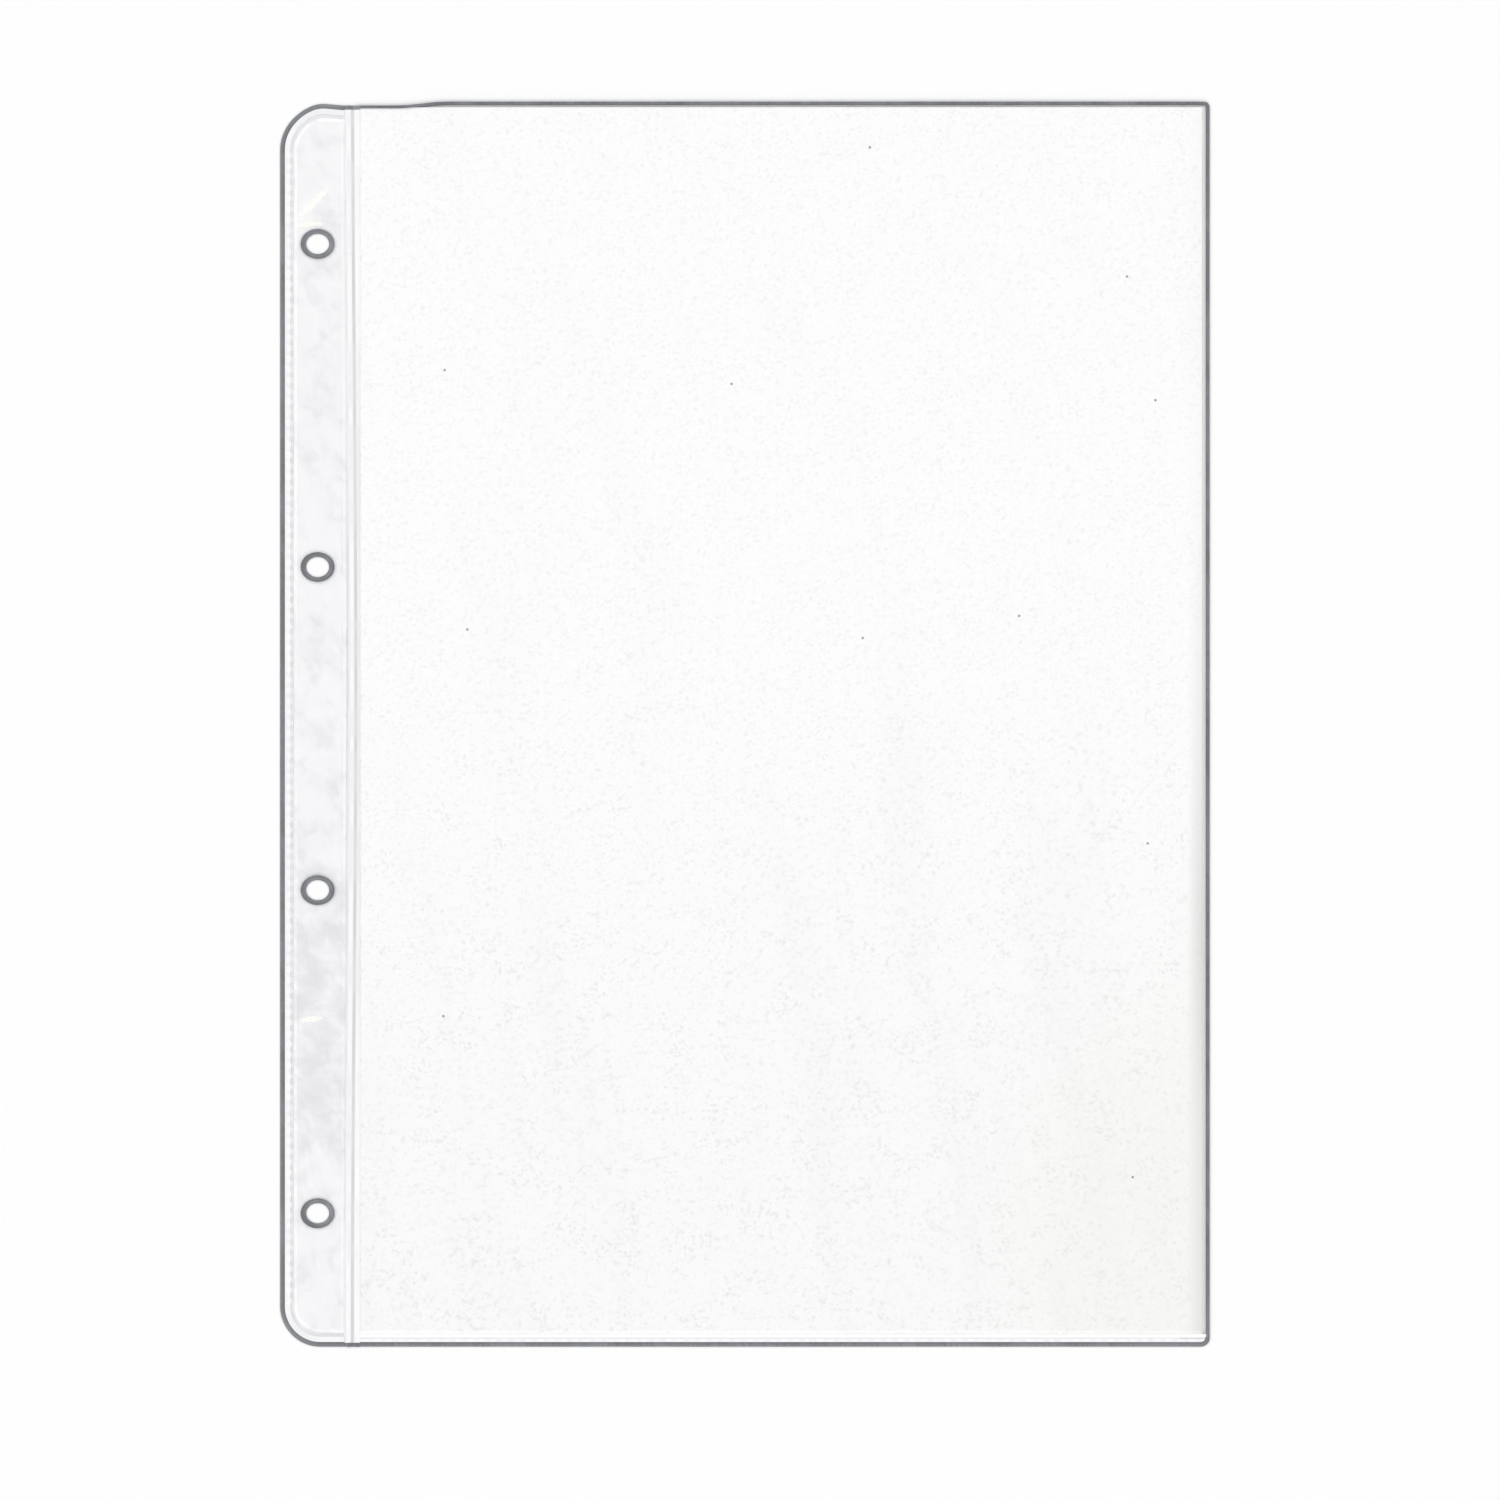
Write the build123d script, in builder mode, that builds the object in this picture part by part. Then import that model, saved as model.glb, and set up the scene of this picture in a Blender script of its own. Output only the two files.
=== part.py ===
"""Clear top-loading sheet protector for a four-ring binder, lying on its back with a sheet in its pocket.

X runs from the binding edge to the fold, Y from the bottom weld to the open mouth, and Z up through the
front film. The origin is under the middle of the sleeve. All sizes are in millimetres.
"""

import os
from math import sqrt

from build123d import *

# Outline of the flat sleeve
sleeve_width = 230.0
sleeve_height = 308.5
top_corner_radius = 11.0
bottom_corner_radius = 10.0

# The die that rounds the corners also trims the margin's top, and blends out into the mouth's edge
trim_depth = 1.0
trim_length = 29.0
trim_blend = 12.5

# Stock, and the air over and under the sheet
film = 0.15
strip_thickness = 0.25
sheet_thickness = 0.20
sheet_play = 0.10

# Binding margin: a sealed cell round the strip, between the edge welds and the seam
margin_weld = 2.4
cell_width = 13.2
margin_lip = 0.8
strip_clearance = 0.2
strip_corner = 0.5

# Ring holes, punched through both films and the strip
hole_diameter = 7.2
hole_pitch = 80.0
hole_count = 4
hole_inset = 9.3
hole_drop = 1.2

# Seam between margin and pocket: a pressed ridge between two grooves, with a round bead that the page flexes on
seam_width = 2.3
seam_ridge_width = 1.2
seam_ridge_rise = 0.12
seam_groove_depth = 0.12
seam_shoulder = 0.35
hinge_room = 0.10

# Pocket: fused land, lips where the front film climbs over the sheet, bottom weld and folded side
weld_land = 0.3
pocket_lip = 1.0
bottom_weld_width = 1.7
fold_gap = 0.20
fold_run = 2.45
sheet_side_play = 0.2
sheet_recess = 0.2

# Marks of the toothed weld bars
mark_depth = 0.10
groove_inset = 0.15
groove_width = 0.4
tooth_width = 0.55
tooth_length = 1.2
edge_tooth_pitch = 2.65
bottom_tooth_pitch = 2.87

# Edges of the sleeve
x_left = -sleeve_width / 2
x_right = sleeve_width / 2
y_bottom = -sleeve_height / 2
y_mouth = sleeve_height / 2
y_trim = y_mouth - trim_depth

# Lines across the margin and the pocket
x_cell = x_left + margin_weld
x_seam = x_cell + cell_width
x_hinge = x_seam + seam_width
y_weld = y_bottom + bottom_weld_width
cell_top = y_trim - margin_weld
strip_inset = margin_lip + strip_clearance

# Heights
weld_top = 2 * film
strip_top = film + strip_thickness
margin_top = strip_top + film
sheet_bottom = film + sheet_play
ceiling = sheet_bottom + sheet_thickness + sheet_play
pocket_top = ceiling + film

# The pocket's flat area, where the front film lies clear over the sheet
hinge_cut = film + hinge_room
fold_radius = fold_gap / 2 + film
x_foot = x_hinge + sqrt(hinge_cut**2 - film**2) + weld_land
x_flat = x_foot + pocket_lip
x_bend = x_right - fold_radius
x_slope = x_bend - fold_run
y_flat = y_weld + pocket_lip


def panel(x0, x1, y0, y1, mode=Mode.ADD):
    """Draws the rectangle between these edges in the sketch that is open."""
    with Locations((x0, y0)):
        Rectangle(x1 - x0, y1 - y0, align=Align.MIN, mode=mode)


def teeth(x, y, pitch, run, along_y):
    """Draws a row of tooth marks, centred here, in the sketch that is open."""
    count = int(run / pitch)
    with Locations((x, y)):
        if along_y:
            with GridLocations(0, pitch, 1, count):
                Rectangle(tooth_width, tooth_length)
        else:
            with GridLocations(pitch, 0, count, 1):
                Rectangle(tooth_length, tooth_width)


# Outline of the whole sleeve: round corners at the binding edge, square ones at the fold
with BuildSketch() as outline:
    trim_end = x_left + trim_length
    mouth_start = trim_end + trim_blend
    blend_middle = ((trim_end + mouth_start) / 2, (y_trim + y_mouth) / 2)
    with BuildLine():
        Polyline(
            (mouth_start, y_mouth),
            (x_right, y_mouth),
            (x_right, y_bottom),
            (x_left + bottom_corner_radius, y_bottom),
        )
        TangentArc(
            (x_left + bottom_corner_radius, y_bottom),
            (x_left, y_bottom + bottom_corner_radius),
            tangent=(-1, 0),
        )
        Line((x_left, y_bottom + bottom_corner_radius), (x_left, y_trim - top_corner_radius))
        TangentArc(
            (x_left, y_trim - top_corner_radius),
            (x_left + top_corner_radius, y_trim),
            tangent=(0, 1),
        )
        Line((x_left + top_corner_radius, y_trim), (trim_end, y_trim))
        TangentArc((trim_end, y_trim), blend_middle, tangent=(1, 0))
        TangentArc((mouth_start, y_mouth), blend_middle, tangent=(-1, 0))
    make_face()

# Outline of the sealed cell, which follows the sleeve's round corners
with BuildSketch() as cell:
    panel(x_cell, x_seam, y_weld, cell_top)
    fillet(cell.vertices().group_by(Axis.X)[-1], strip_inset + strip_corner)
    fillet(cell.vertices().group_by(Axis.X)[0].sort_by(Axis.Y)[0], bottom_corner_radius - margin_weld)
    fillet(cell.vertices().group_by(Axis.X)[0].sort_by(Axis.Y)[-1], top_corner_radius - margin_weld)

with BuildSketch() as cell_flat:
    add(cell.sketch)
    offset(amount=-margin_lip, mode=Mode.REPLACE)

with BuildSketch() as strip_outline:
    add(cell.sketch)
    offset(amount=-strip_inset, mode=Mode.REPLACE)

# Pressed groove that runs round the cell in the welds
with BuildSketch() as groove:
    add(cell.sketch)
    offset(amount=groove_inset + groove_width, mode=Mode.REPLACE)
    offset(cell.sketch, amount=groove_inset, mode=Mode.SUBTRACT)

with BuildSketch() as punch:
    with Locations((x_left + hole_inset, -hole_drop)):
        with GridLocations(0, hole_pitch, 1, hole_count):
            Circle(hole_diameter / 2)

# Front film over the pocket as one shallow tray, from which the pieces along its rim are cut
with BuildPart() as front_tray:
    x_tray = x_slope + fold_run * (pocket_top - weld_top) / (pocket_top - 2 * fold_radius)
    with BuildSketch(Plane.XY.offset(film)):
        panel(x_foot, x_tray, y_weld, y_mouth)
    extrude(amount=film)
    with BuildSketch(Plane.XY.offset(weld_top)):
        panel(x_foot, x_tray, y_weld, y_mouth)
    with BuildSketch(Plane.XY.offset(pocket_top)):
        panel(x_flat, x_slope, y_flat, y_mouth)
    loft(ruled=True)
    with BuildSketch(Plane.XY.offset(film)):
        panel(x_foot, x_tray, y_weld, y_mouth)
    with BuildSketch(Plane.XY.offset(ceiling)):
        panel(x_flat, x_slope, y_flat, y_mouth)
    loft(ruled=True, mode=Mode.SUBTRACT)

# Weld along the binding edge, with a row of tooth marks
with BuildPart() as outer_edge_weld:
    edge_bottom = y_bottom + bottom_corner_radius
    edge_top = y_trim - top_corner_radius
    with BuildSketch():
        panel(x_left, x_cell, edge_bottom, edge_top)
    extrude(amount=weld_top)
    with BuildSketch(Plane.XY.offset(weld_top)):
        add(groove.sketch)
        x_teeth = x_cell - groove_inset - groove_width - tooth_width / 2
        teeth(x_teeth, (edge_bottom + edge_top) / 2, edge_tooth_pitch, edge_top - edge_bottom, along_y=True)
    extrude(amount=-mark_depth, mode=Mode.SUBTRACT)
outer_edge_weld.part.label = "outer_edge_weld"

# Weld round the margin's top corner
with BuildPart() as top_edge_weld:
    with BuildSketch():
        panel(x_left, x_seam, y_trim - top_corner_radius, y_trim)
        add(outline.sketch, mode=Mode.INTERSECT)
        add(cell.sketch, mode=Mode.SUBTRACT)
    extrude(amount=weld_top)
    with BuildSketch(Plane.XY.offset(weld_top)):
        add(groove.sketch)
    extrude(amount=-mark_depth, mode=Mode.SUBTRACT)
top_edge_weld.part.label = "top_edge_weld"

# Weld round the margin's bottom corner
with BuildPart() as bottom_edge_weld:
    with BuildSketch():
        panel(x_left, x_seam, y_bottom, y_bottom + bottom_corner_radius)
        add(outline.sketch, mode=Mode.INTERSECT)
        add(cell.sketch, mode=Mode.SUBTRACT)
    extrude(amount=weld_top)
    with BuildSketch(Plane.XY.offset(weld_top)):
        add(groove.sketch)
    extrude(amount=-mark_depth, mode=Mode.SUBTRACT)
bottom_edge_weld.part.label = "bottom_edge_weld"

# Back film of the margin
with BuildPart() as margin_back_film:
    with BuildSketch():
        add(cell.sketch)
        add(punch.sketch, mode=Mode.SUBTRACT)
    extrude(amount=film)
margin_back_film.part.label = "margin_back_film"

# Reinforcing strip sealed between the margin's films
with BuildPart() as binding_strip:
    with BuildSketch(Plane.XY.offset(film)):
        add(strip_outline.sketch)
        add(punch.sketch, mode=Mode.SUBTRACT)
    extrude(amount=strip_thickness)
binding_strip.part.label = "binding_strip"

# Front film of the margin, which climbs from the welds over the strip
with BuildPart() as margin_front_film:
    with BuildSketch(Plane.XY.offset(film)):
        add(cell.sketch)
    extrude(amount=film)
    with BuildSketch(Plane.XY.offset(weld_top)):
        add(cell.sketch)
    with BuildSketch(Plane.XY.offset(margin_top)):
        add(cell_flat.sketch)
    loft(ruled=True)
    with BuildSketch(Plane.XY.offset(film)):
        add(cell.sketch)
    with BuildSketch(Plane.XY.offset(strip_top)):
        add(cell_flat.sketch)
    loft(ruled=True, mode=Mode.SUBTRACT)
    extrude(punch.sketch, amount=margin_top, mode=Mode.SUBTRACT)
margin_front_film.part.label = "margin_front_film"

# Seam between margin and pocket
with BuildPart() as binding_seam:
    seam_middle = (x_seam + x_hinge) / 2
    seam_floor = weld_top - seam_groove_depth
    ridge_start = seam_middle - seam_ridge_width / 2
    ridge_end = seam_middle + seam_ridge_width / 2
    with BuildSketch(Plane.XZ.offset(-y_trim)):
        with BuildLine():
            Polyline(
                (x_hinge, 0),
                (x_seam, 0),
                (x_seam, weld_top),
                (x_seam + seam_shoulder, seam_floor),
                (ridge_start, seam_floor),
            )
            ThreePointArc(
                (ridge_start, seam_floor),
                (seam_middle, weld_top + seam_ridge_rise),
                (ridge_end, seam_floor),
            )
            Polyline((ridge_end, seam_floor), (x_hinge - seam_shoulder, seam_floor), (x_hinge, weld_top))
            ThreePointArc((x_hinge, weld_top), (x_hinge + film, film), (x_hinge, 0))
        make_face()
    extrude(amount=y_trim - y_bottom)
binding_seam.part.label = "binding_seam"

# Edge of the pocket that flexes on the seam: the fused land, then both films parting round the sheet
with BuildPart() as flex_edge:
    with BuildSketch():
        panel(x_foot, x_flat, y_flat, y_mouth)
        add(outline.sketch, mode=Mode.INTERSECT)
    extrude(amount=pocket_top)
    add(front_tray.part, mode=Mode.INTERSECT)
    with BuildSketch():
        panel(x_hinge, x_flat, y_weld, y_mouth)
        add(outline.sketch, mode=Mode.INTERSECT)
    extrude(amount=film)
    with BuildSketch():
        panel(x_hinge, x_foot, y_weld, y_mouth)
        add(outline.sketch, mode=Mode.INTERSECT)
    extrude(amount=weld_top)
    with BuildSketch(Plane.XZ.offset(-y_mouth)):
        with Locations((x_hinge, film)):
            Circle(hinge_cut)
    extrude(amount=sleeve_height, mode=Mode.SUBTRACT)
flex_edge.part.label = "flex_edge"

# Flat films of the pocket
with BuildPart() as pocket_back_film:
    with BuildSketch():
        panel(x_flat, x_slope, y_weld, y_mouth)
        add(outline.sketch, mode=Mode.INTERSECT)
    extrude(amount=film)
pocket_back_film.part.label = "pocket_back_film"

with BuildPart() as pocket_front_film:
    with BuildSketch(Plane.XY.offset(ceiling)):
        panel(x_flat, x_slope, y_flat, y_mouth)
        add(outline.sketch, mode=Mode.INTERSECT)
    extrude(amount=film)
pocket_front_film.part.label = "pocket_front_film"

# Folded side: the front film slopes down past the sheet and turns round into the back film
with BuildPart() as side_fold:
    with BuildSketch():
        panel(x_slope, x_bend, y_flat, y_mouth)
    extrude(amount=pocket_top)
    add(front_tray.part, mode=Mode.INTERSECT)
    with BuildSketch():
        panel(x_slope, x_bend, y_weld, y_mouth)
    extrude(amount=film)
    with BuildSketch(Plane.XZ.offset(-y_mouth)):
        with Locations((x_bend, fold_radius)):
            Circle(fold_radius)
            Circle(fold_radius - film, mode=Mode.SUBTRACT)
        panel(x_bend, x_right, 0, 2 * fold_radius, mode=Mode.INTERSECT)
    extrude(amount=y_mouth - y_weld)
side_fold.part.label = "side_fold"

# Bottom weld of the pocket, with its tooth marks and the lip where the front film leaves it
with BuildPart() as bottom_weld:
    with BuildSketch():
        panel(x_foot, x_bend, y_weld, y_flat)
    extrude(amount=pocket_top)
    add(front_tray.part, mode=Mode.INTERSECT)
    with BuildSketch():
        panel(x_hinge, x_right, y_bottom, y_weld)
    extrude(amount=weld_top)
    with BuildSketch(Plane.XY.offset(weld_top)):
        y_groove = y_weld - groove_inset - groove_width
        panel(x_foot, x_right, y_groove, y_groove + groove_width)
        teeth(
            (x_foot + x_right) / 2,
            y_groove - tooth_width / 2,
            bottom_tooth_pitch,
            x_right - x_foot,
            along_y=False,
        )
    extrude(amount=-mark_depth, mode=Mode.SUBTRACT)
    with BuildSketch(Plane.XZ.offset(-y_weld)):
        with Locations((x_hinge, film)):
            Circle(hinge_cut)
    extrude(amount=bottom_weld_width, mode=Mode.SUBTRACT)
bottom_weld.part.label = "bottom_weld"

# White sheet in the pocket
with BuildPart() as insert_sheet:
    with BuildSketch(Plane.XY.offset(sheet_bottom)):
        panel(
            x_flat + sheet_side_play,
            x_slope - sheet_side_play,
            y_flat + sheet_side_play,
            y_trim - sheet_recess,
        )
    extrude(amount=sheet_thickness)
insert_sheet.part.label = "insert_sheet"

os.makedirs("parts", exist_ok=True)
for piece in (
    outer_edge_weld,
    top_edge_weld,
    bottom_edge_weld,
    margin_back_film,
    binding_strip,
    margin_front_film,
    binding_seam,
    flex_edge,
    pocket_back_film,
    pocket_front_film,
    side_fold,
    bottom_weld,
    insert_sheet,
):
    export_step(piece.part, f"parts/{piece.part.label}.step")
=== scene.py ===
"""Dresses the sheet protector: a clear welded sleeve with a binding margin, and the white sheet in its pocket.

X runs from the binding edge to the fold, Y from the bottom weld to the open mouth and Z up. Sizes in the
classes are in millimetres and are turned to metres where a mesh or a material is made.
"""

import logging
import math
from collections.abc import Callable, Sequence
from dataclasses import dataclass
from enum import Enum

import bpy
import numpy as np
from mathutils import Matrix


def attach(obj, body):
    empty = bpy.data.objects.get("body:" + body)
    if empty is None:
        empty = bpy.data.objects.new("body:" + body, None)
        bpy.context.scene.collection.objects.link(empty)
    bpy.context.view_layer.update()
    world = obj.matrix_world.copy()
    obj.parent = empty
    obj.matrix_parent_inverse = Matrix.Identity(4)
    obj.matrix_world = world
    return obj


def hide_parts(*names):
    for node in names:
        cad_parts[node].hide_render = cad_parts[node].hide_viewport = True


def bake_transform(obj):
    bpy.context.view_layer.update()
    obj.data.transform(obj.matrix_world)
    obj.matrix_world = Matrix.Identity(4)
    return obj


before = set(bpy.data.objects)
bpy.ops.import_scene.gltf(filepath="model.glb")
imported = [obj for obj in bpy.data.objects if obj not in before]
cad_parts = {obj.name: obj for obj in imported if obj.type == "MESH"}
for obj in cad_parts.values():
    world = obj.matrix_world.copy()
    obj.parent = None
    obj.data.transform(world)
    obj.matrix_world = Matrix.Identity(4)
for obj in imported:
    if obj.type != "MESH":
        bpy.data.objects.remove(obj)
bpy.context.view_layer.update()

log = logging.getLogger("sheet_protector")
MM = 0.001

Points = np.ndarray
Place = tuple[float, float, float]


class Body(Enum):
    """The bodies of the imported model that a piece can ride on."""

    MARGIN = "margin"
    POCKET = "pocket"
    SHEET = "sheet"


class Slot(Enum):
    """The record's material slots."""

    FILM = "film"
    WELD = "weld"
    STRIP = "strip"
    SHEET = "sheet"


# Colours and nodes


def linear(code: str) -> tuple[float, float, float, float]:
    """Turns an sRGB hex colour to linear.

    Args:
        code: The colour as six hex digits.

    Returns:
        Red, green, blue and an alpha of 1.
    """
    shares = [int(code[i : i + 2], 16) / 255 for i in (0, 2, 4)]
    return (*[s / 12.92 if s <= 0.04045 else ((s + 0.055) / 1.055) ** 2.4 for s in shares], 1.0)


def add_node(
    tree: bpy.types.NodeTree, kind: str, inputs: dict | None = None, **settings: object
) -> bpy.types.Node:
    """Adds a node with its settings and links.

    Args:
        tree: The node tree that gets the node.
        kind: The node's type.
        inputs: What its input sockets get, by name or number: a value, an output socket to link, or a node
            whose first output in use is linked.
        settings: Properties of the node.

    Returns:
        The new node.
    """
    node = tree.nodes.new(kind)
    for key, value in settings.items():
        setattr(node, key, value)
    for key, value in (inputs or {}).items():
        if isinstance(value, bpy.types.Node):
            value = next(output for output in value.outputs if output.enabled)
        if isinstance(value, bpy.types.NodeSocket):
            tree.links.new(value, node.inputs[key])
        else:
            node.inputs[key].default_value = value
    return node


def new_material(name: str) -> tuple[bpy.types.Material, bpy.types.NodeTree]:
    """Makes an empty material.

    Args:
        name: The material's name.

    Returns:
        The material and its node tree.
    """
    material = bpy.data.materials.new(name)
    material.use_nodes = True
    material.node_tree.nodes.clear()
    return material, material.node_tree


def object_pattern(
    tree: bpy.types.NodeTree, size: Place, turn: float, detail: float, roughness: float = 0.5
) -> bpy.types.Node:
    """Lays a blotchy pattern on Object coordinates whose blobs have a real size.

    Args:
        tree: The node tree.
        size: The blobs' size along X, Y and Z in millimetres.
        turn: How far the pattern is turned about Z, in degrees.
        detail: How many finer layers it has.
        roughness: How strong the finer layers are.

    Returns:
        The node that gives the pattern's value.
    """
    place = add_node(tree, "ShaderNodeTexCoord").outputs["Object"]
    laid = {"Vector": place, "Rotation": (0, 0, math.radians(turn)), "Scale": tuple(s * MM for s in size)}
    laid = add_node(tree, "ShaderNodeMapping", laid, vector_type="TEXTURE")
    noise = {"Vector": laid, "Scale": 1.0, "Detail": detail, "Roughness": roughness, "Distortion": 0.25}
    return add_node(tree, "ShaderNodeTexNoise", noise)


# Finishes


@dataclass(frozen=True)
class Crease:
    """A short crease, white from stress-whitening and from a painted highlight for its glint: place, turn in degrees,
    half length and half width.
    """

    x: float
    y: float
    turn: float
    length: float
    width: float


@dataclass(frozen=True)
class ClearFilm:
    """Soft PVC film, calendered clear: glossy, a little milky, greyer in patches where it clings to what lies under."""

    name: str
    milk: str
    grey: str
    haze: tuple[float, float]
    patch: Place
    turn: float = 0.0
    cling: tuple[float, float] = (0.46, 0.66)
    settled: float = 0.0
    settled_at: tuple[float, float] = (-150.0, 190.0)
    mirror: float = 0.044
    gloss: float = 0.06
    ripple: Place = (18.0, 26.0, 18.0)
    ripple_depth: float = 0.4
    ripple_strength: float = 0.2
    creases: tuple[Crease, ...] = ()
    crease_white_and_glint: str = "FFFFFB"
    crease_onset: float = 0.04

    def clinging(self, tree: bpy.types.NodeTree, place: bpy.types.NodeSocket) -> bpy.types.Node:
        """Shows where the film clings: in patches, most of them where it has settled.

        Args:
            tree: The node tree.
            place: The Object coordinates.

        Returns:
            The node that gives the share of cling.
        """
        blobs = object_pattern(tree, self.patch, self.turn, detail=8.0, roughness=0.66)
        axes = add_node(tree, "ShaderNodeSeparateXYZ", {"Vector": place})
        middle, reach = (size * MM for size in self.settled_at)
        away = add_node(tree, "ShaderNodeMath", {0: axes.outputs["Y"], 1: middle}, operation="SUBTRACT")
        away = add_node(tree, "ShaderNodeMath", {0: away}, operation="ABSOLUTE")
        more = {0: away, 1: 0.3 * reach, 2: reach, 3: self.settled, 4: 0.0}
        more = add_node(tree, "ShaderNodeMapRange", more, interpolation_type="SMOOTHSTEP")
        blobs = add_node(tree, "ShaderNodeMath", {0: blobs, 1: more}, operation="ADD")
        share = {0: blobs, 1: self.cling[0], 2: self.cling[1]}
        return add_node(tree, "ShaderNodeMapRange", share, interpolation_type="SMOOTHSTEP")

    def crease_white_and_glints(self, tree: bpy.types.NodeTree, place: bpy.types.NodeSocket) -> bpy.types.Node | float:
        """Shows where the creases are white: stress-whitening, and painted highlight for their glint.

        Args:
            tree: The node tree.
            place: The Object coordinates.

        Returns:
            The node that gives the share of whitening, or 0 where the film has no creases.
        """
        white_and_glint_share = 0.0
        for crease in self.creases:
            streak = {
                "Vector": place,
                "Location": (crease.x * MM, crease.y * MM, 0.0),
                "Rotation": (0.0, 0.0, math.radians(crease.turn)),
                "Scale": (crease.length * MM, crease.width * MM, 1.0),
            }
            streak = add_node(tree, "ShaderNodeMapping", streak, vector_type="TEXTURE")
            reach = add_node(tree, "ShaderNodeVectorMath", {0: streak}, operation="LENGTH")
            share = {0: reach, 1: 0.3, 2: 1.0, 3: 0.95, 4: 0.0}
            share = add_node(tree, "ShaderNodeMapRange", share, interpolation_type="SMOOTHSTEP")
            white_and_glint_share = add_node(tree, "ShaderNodeMath", {0: share, 1: white_and_glint_share}, operation="MAXIMUM")
        return white_and_glint_share

    def glossed(self, tree: bpy.types.NodeTree, surface: bpy.types.Node) -> bpy.types.Node:
        """Lays the film's gloss over it.

        Args:
            tree: The node tree.
            surface: The film without its gloss.

        Returns:
            The glossy film.
        """
        # Ripples of some 20 mm that the calender left
        ripples = object_pattern(tree, self.ripple, 20.0, detail=2.0)
        bump = {"Height": ripples, "Strength": self.ripple_strength, "Distance": self.ripple_depth * MM}
        bump = add_node(tree, "ShaderNodeBump", bump)
        # PVC of IOR 1.53 mirrors 4.4% seen straight on and more at a slant; the inner face adds nothing
        facing = add_node(tree, "ShaderNodeLayerWeight", {"Blend": 0.5, "Normal": bump}).outputs["Facing"]
        slant = add_node(tree, "ShaderNodeMath", {0: facing, 1: 5.0}, operation="POWER")
        inner = add_node(tree, "ShaderNodeNewGeometry").outputs["Backfacing"]
        outer = add_node(tree, "ShaderNodeMath", {0: 1.0, 1: inner}, operation="SUBTRACT")
        share = add_node(tree, "ShaderNodeMapRange", {0: slant, 3: self.mirror, 4: 1.0})
        share = add_node(tree, "ShaderNodeMath", {0: share, 1: outer}, operation="MULTIPLY")
        gloss = add_node(tree, "ShaderNodeBsdfGlossy", {"Roughness": self.gloss, "Normal": bump})
        return add_node(tree, "ShaderNodeMixShader", {0: share, 1: surface, 2: gloss})

    def build(self) -> bpy.types.Material:
        """Makes the material: a share of haze in clear film, with its creases and its gloss.

        Returns:
            The material.
        """
        material, tree = new_material(self.name)
        place = add_node(tree, "ShaderNodeTexCoord").outputs["Object"]
        cling = self.clinging(tree, place)
        colour = {0: cling, 6: linear(self.milk), 7: linear(self.grey)}
        colour = add_node(tree, "ShaderNodeMix", colour, data_type="RGBA")
        haze = add_node(tree, "ShaderNodeMapRange", {0: cling, 3: self.haze[0], 4: self.haze[1]})
        if self.creases:
            white_and_glint_share = self.crease_white_and_glints(tree, place)
            white_and_glint_mix = add_node(tree, "ShaderNodeMapRange", {0: white_and_glint_share, 1: 0.0, 2: self.crease_onset})
            colour = {0: white_and_glint_mix, 6: colour, 7: linear(self.crease_white_and_glint)}
            colour = add_node(tree, "ShaderNodeMix", colour, data_type="RGBA")
            haze = add_node(tree, "ShaderNodeMath", {0: haze, 1: white_and_glint_share}, operation="MAXIMUM")
        milky = {"Base Color": colour, "Roughness": 0.5, "Specular IOR Level": 0.0}
        milky = add_node(tree, "ShaderNodeBsdfPrincipled", milky)
        if self.creases:
            # Haze scatters light back; a white crease, partly painted highlight for its glint, also lets half of it
            # through and hardly shades what lies under
            half = add_node(tree, "ShaderNodeMath", {0: white_and_glint_mix, 1: 0.5}, operation="MULTIPLY")
            through = add_node(tree, "ShaderNodeBsdfTranslucent", {"Color": colour})
            milky = add_node(tree, "ShaderNodeMixShader", {0: half, 1: milky, 2: through})
        clear = add_node(tree, "ShaderNodeBsdfTransparent", {"Color": linear("FFFFFF")})
        surface = add_node(tree, "ShaderNodeMixShader", {0: haze, 1: clear, 2: milky})
        if self.mirror:
            surface = self.glossed(tree, surface)
        add_node(tree, "ShaderNodeOutputMaterial", {"Surface": surface})
        return material


@dataclass(frozen=True)
class PressedFilm:
    """PVC film fused by a hot toothed bar: frosted, with the grain of the bar's face and a soft shine."""

    name: str
    colour: str
    worn: str
    alpha: float
    roughness: float = 0.35
    grain: Place = (0.9, 2.25, 0.9)
    grain_depth: float = 0.05
    drift: Place = (9.0, 14.0, 9.0)

    def build(self) -> bpy.types.Material:
        """Makes the material: its colour drifts over some 10 mm, and its grain makes it uneven.

        Returns:
            The material.
        """
        material, tree = new_material(self.name)
        grain = object_pattern(tree, self.grain, 0.0, detail=3.0)
        drift = object_pattern(tree, self.drift, 15.0, detail=2.0)
        share = {0: drift, 1: 0.4, 2: 0.62}
        share = add_node(tree, "ShaderNodeMapRange", share, interpolation_type="SMOOTHSTEP")
        colour = {0: share, 6: linear(self.colour), 7: linear(self.worn)}
        colour = add_node(tree, "ShaderNodeMix", colour, data_type="RGBA")
        rough = {0: grain, 1: 0.3, 2: 0.7, 3: self.roughness - 0.1, 4: self.roughness + 0.1}
        rough = add_node(tree, "ShaderNodeMapRange", rough)
        bump = {"Height": grain, "Strength": 0.3, "Distance": self.grain_depth * MM}
        bump = add_node(tree, "ShaderNodeBump", bump)
        surface = {
            "Base Color": colour,
            "Roughness": rough,
            "Normal": bump,
            "IOR": 1.53,
            "Alpha": self.alpha,
            "Coat Weight": 0.4,
            "Coat Roughness": 0.12,
        }
        surface = add_node(tree, "ShaderNodeBsdfPrincipled", surface)
        add_node(tree, "ShaderNodeOutputMaterial", {"Surface": surface})
        return material


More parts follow.
